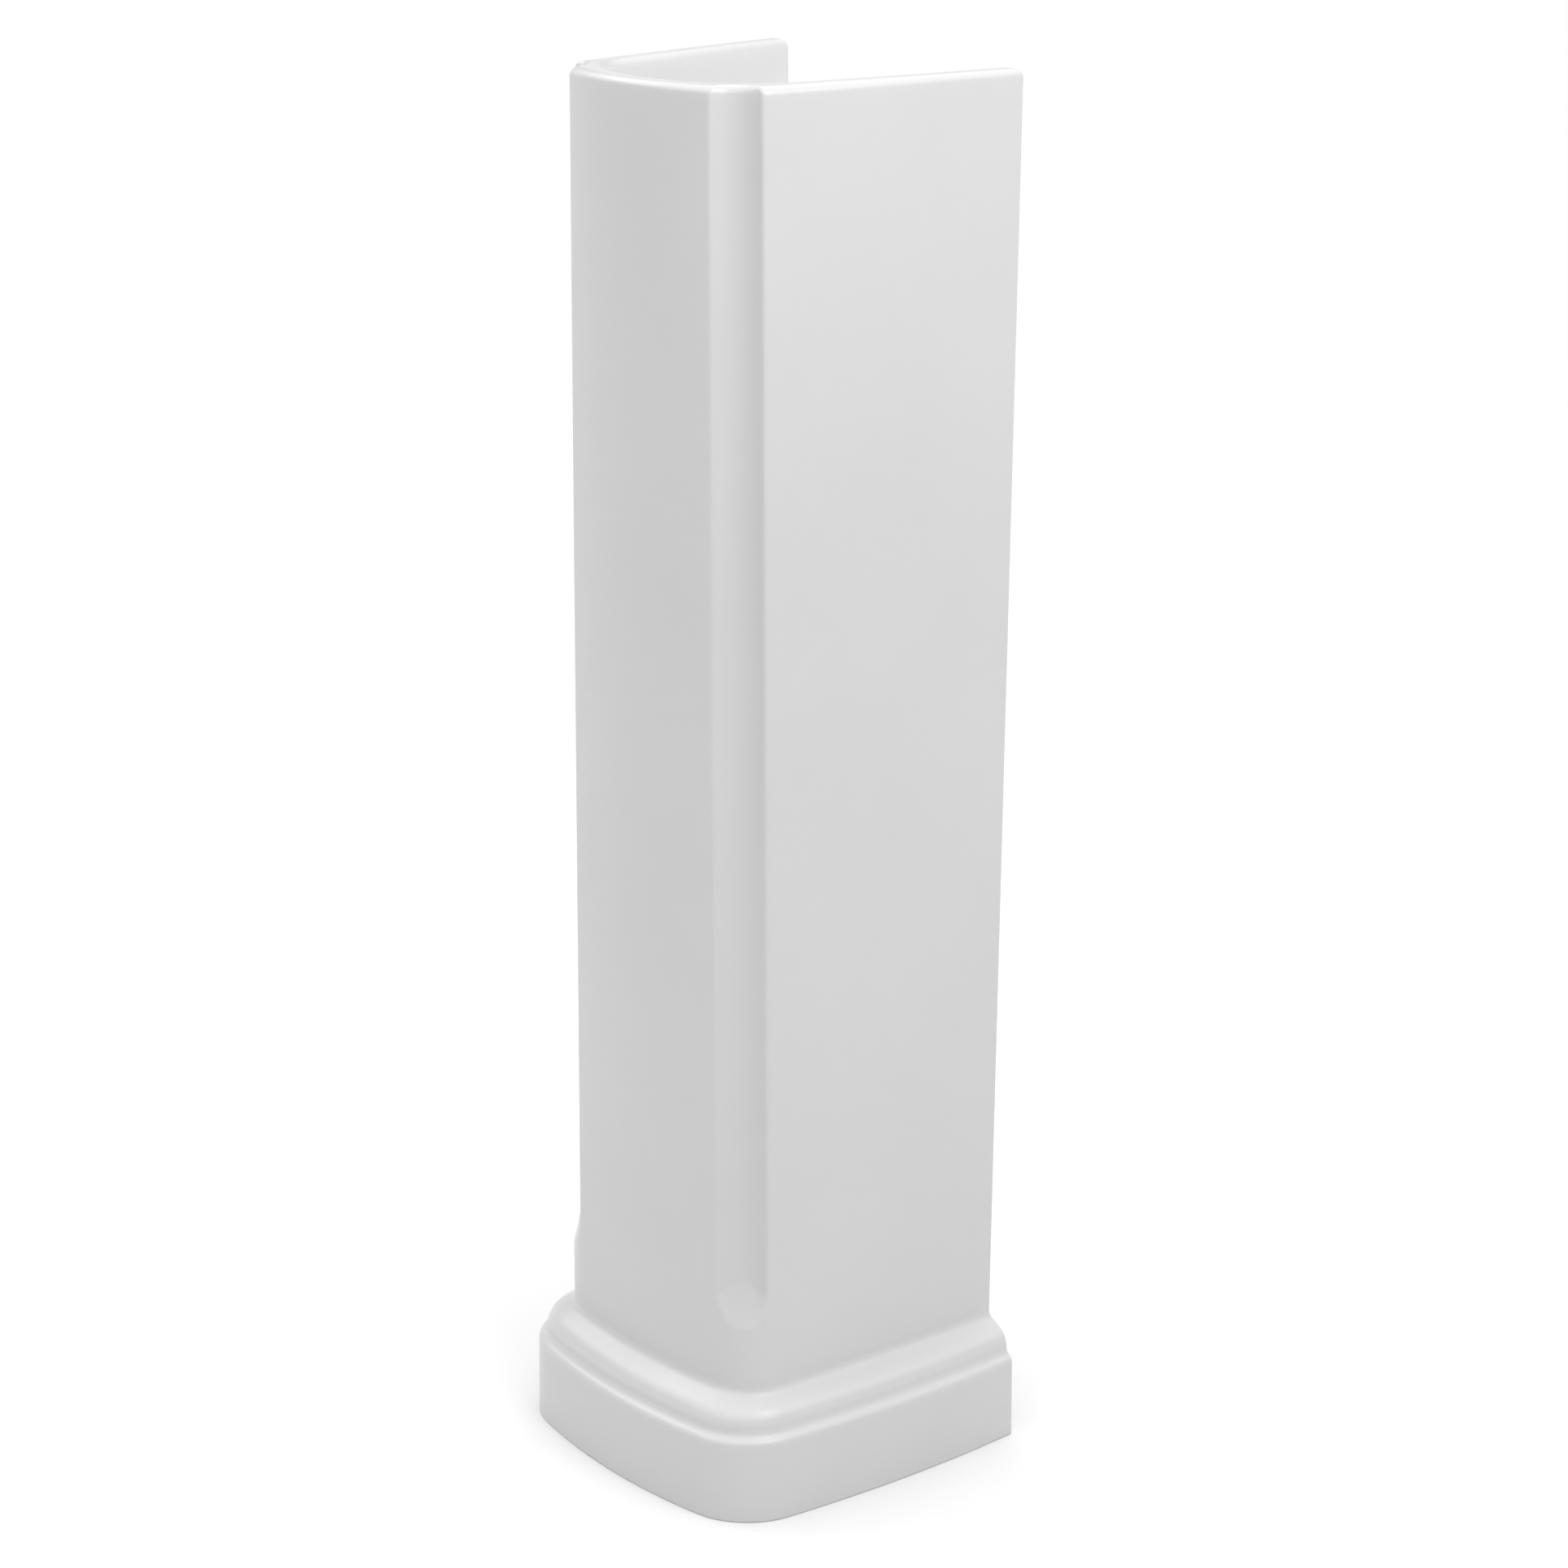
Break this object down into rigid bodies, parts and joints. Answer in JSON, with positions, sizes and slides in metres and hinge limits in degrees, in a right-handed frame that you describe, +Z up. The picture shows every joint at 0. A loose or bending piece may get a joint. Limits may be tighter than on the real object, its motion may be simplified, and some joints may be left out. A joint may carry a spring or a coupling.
{
  "type": "pedestal sink column",
  "caption": "Hollow open-backed ceramic basin pedestal with corner flutes, a moulded plinth and a hidden floor fixing set under cover caps.",
  "frame": {"origin": "middle of the footprint's bounding box, on the floor", "axes": "+Z up, the bowed front faces -Y and the open back faces +Y, +X is the right side seen from the front"},
  "size_m": [0.2066, 0.1844, 0.7],
  "materials": {
    "glazed_china": "gloss glaze",
    "nylon": "satin",
    "zinc_steel": "bright zinc plating",
    "cap_plastic": "gloss"
  },
  "bodies": {
    "column": {"pedestal": "glazed_china", "bush_left": "nylon", "washer_left": "zinc_steel", "nut_left": "zinc_steel", "bush_right": "nylon", "washer_right": "zinc_steel", "nut_right": "zinc_steel"},
    "left_cap": {"cap_left": "cap_plastic"},
    "right_cap": {"cap_right": "cap_plastic"}
  },
  "joints": [
    {"name": "cap_left_lift", "type": "slide", "parent": "column", "child": "left_cap", "axis": [0, 0, 1], "range_m": [0, 0.02]},
    {"name": "cap_right_lift", "type": "slide", "parent": "column", "child": "right_cap", "axis": [0, 0, 1], "range_m": [0, 0.02]}
  ]
}
